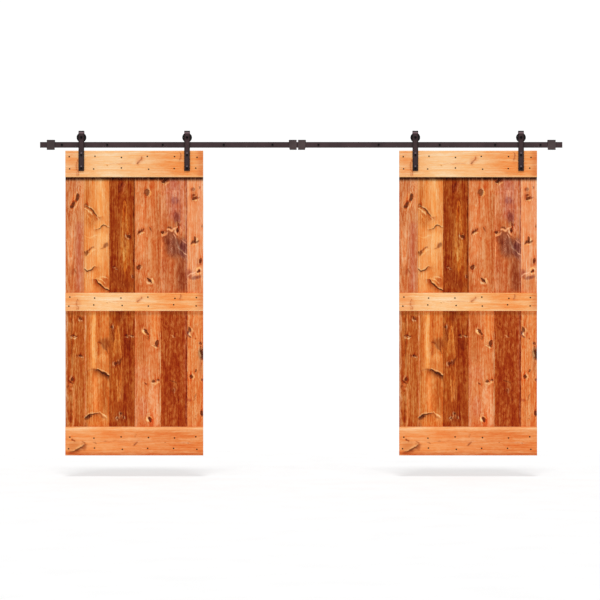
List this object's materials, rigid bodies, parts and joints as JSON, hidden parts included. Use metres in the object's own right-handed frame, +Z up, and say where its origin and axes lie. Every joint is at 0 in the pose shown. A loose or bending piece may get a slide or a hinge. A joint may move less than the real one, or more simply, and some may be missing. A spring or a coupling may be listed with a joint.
{
  "type": "pair of sliding barn doors",
  "caption": "Plank barn doors with cross boards, hung on bent-strap rollers from a flat wall track with end and centre stops.",
  "frame": {"origin": "on the wall plane, at the middle of the track's length and the height of the rail's centre line", "axes": "+X along the track to the right as seen from the room, +Y into the wall, +Z up"},
  "size_m": [3.658, 0.1079, 2.274],
  "materials": {
    "rail_bronze": "dark bronze powder coat, satin",
    "stop_bronze": "dark bronze powder coat, satin",
    "strap_bronze": "dark brown powder coat, satin",
    "wheel_black": "near-black coating, satin",
    "black_steel": "black oxide",
    "bright_steel": "zinc plated",
    "rubber_pad": "matte",
    "board_wood": "clear coated knotty softwood, pale orange",
    "plank_wood_1": "stained knotty softwood, satin",
    "plank_wood_2": "stained knotty softwood, satin",
    "plank_wood_3": "stained knotty softwood, satin",
    "plank_wood_4": "stained knotty softwood, satin",
    "plank_wood_5": "stained knotty softwood, satin",
    "plank_wood_6": "stained knotty softwood, satin"
  },
  "bodies": {
    "track": {"rail_left": "rail_bronze", "rail_right": "rail_bronze", "joiner_plate": "rail_bronze", "joiner_screws": "black_steel", "wall_spacers": "rail_bronze", "wall_screws": "black_steel", "end_stop_left": "stop_bronze", "end_stop_right": "stop_bronze", "centre_stop_left": "stop_bronze", "centre_stop_right": "stop_bronze", "stop_pads": "rubber_pad", "stop_set_screws": "black_steel"},
    "left_door": {"left_plank_1": "plank_wood_1", "left_plank_2": "plank_wood_2", "left_plank_3": "plank_wood_3", "left_plank_4": "plank_wood_4", "left_plank_5": "plank_wood_5", "left_plank_6": "plank_wood_6", "left_top_board": "board_wood", "left_mid_board": "board_wood", "left_bottom_board": "board_wood", "left_board_screws": "black_steel", "left_strap_1": "strap_bronze", "left_strap_2": "strap_bronze", "left_strap_bolts": "black_steel", "left_strap_washers": "bright_steel", "left_strap_nuts": "bright_steel", "left_axle_bolts": "black_steel", "left_axle_sleeves": "bright_steel", "left_axle_nuts": "black_steel"},
    "right_door": {"right_plank_1": "plank_wood_1", "right_plank_2": "plank_wood_2", "right_plank_3": "plank_wood_3", "right_plank_4": "plank_wood_4", "right_plank_5": "plank_wood_5", "right_plank_6": "plank_wood_6", "right_top_board": "board_wood", "right_mid_board": "board_wood", "right_bottom_board": "board_wood", "right_board_screws": "black_steel", "right_strap_1": "strap_bronze", "right_strap_2": "strap_bronze", "right_strap_bolts": "black_steel", "right_strap_washers": "bright_steel", "right_strap_nuts": "bright_steel", "right_axle_bolts": "black_steel", "right_axle_sleeves": "bright_steel", "right_axle_nuts": "black_steel"},
    "left_roller_1": {"left_wheel_1": "wheel_black", "left_bearing_1": "bright_steel"},
    "left_roller_2": {"left_wheel_2": "wheel_black", "left_bearing_2": "bright_steel"},
    "right_roller_1": {"right_wheel_1": "wheel_black", "right_bearing_1": "bright_steel"},
    "right_roller_2": {"right_wheel_2": "wheel_black", "right_bearing_2": "bright_steel"}
  },
  "joints": [
    {"name": "left_door_slide", "type": "slide", "parent": "track", "child": "left_door", "axis": [1, 0, 0], "range_m": [-0.155, 0.658]},
    {"name": "right_door_slide", "type": "slide", "parent": "track", "child": "right_door", "axis": [-1, 0, 0], "range_m": [-0.155, 0.712]},
    {"name": "left_roller_1_spin", "type": "hinge", "parent": "left_door", "child": "left_roller_1", "pos_m": [-1.539, -0.038, 0.0513], "axis": [0, 1, 0], "continuous": true},
    {"name": "left_roller_2_spin", "type": "hinge", "parent": "left_door", "child": "left_roller_2", "pos_m": [-0.799, -0.038, 0.0513], "axis": [0, 1, 0], "continuous": true},
    {"name": "right_roller_1_spin", "type": "hinge", "parent": "right_door", "child": "right_roller_1", "pos_m": [0.799, -0.038, 0.0513], "axis": [0, 1, 0], "continuous": true},
    {"name": "right_roller_2_spin", "type": "hinge", "parent": "right_door", "child": "right_roller_2", "pos_m": [1.539, -0.038, 0.0513], "axis": [0, 1, 0], "continuous": true}
  ],
  "couplings": [
    {"joint": "left_roller_1_spin", "follows": "left_door_slide", "rad_per_m": 32.258},
    {"joint": "left_roller_2_spin", "follows": "left_door_slide", "rad_per_m": 32.258},
    {"joint": "right_roller_1_spin", "follows": "right_door_slide", "rad_per_m": -32.258},
    {"joint": "right_roller_2_spin", "follows": "right_door_slide", "rad_per_m": -32.258}
  ]
}
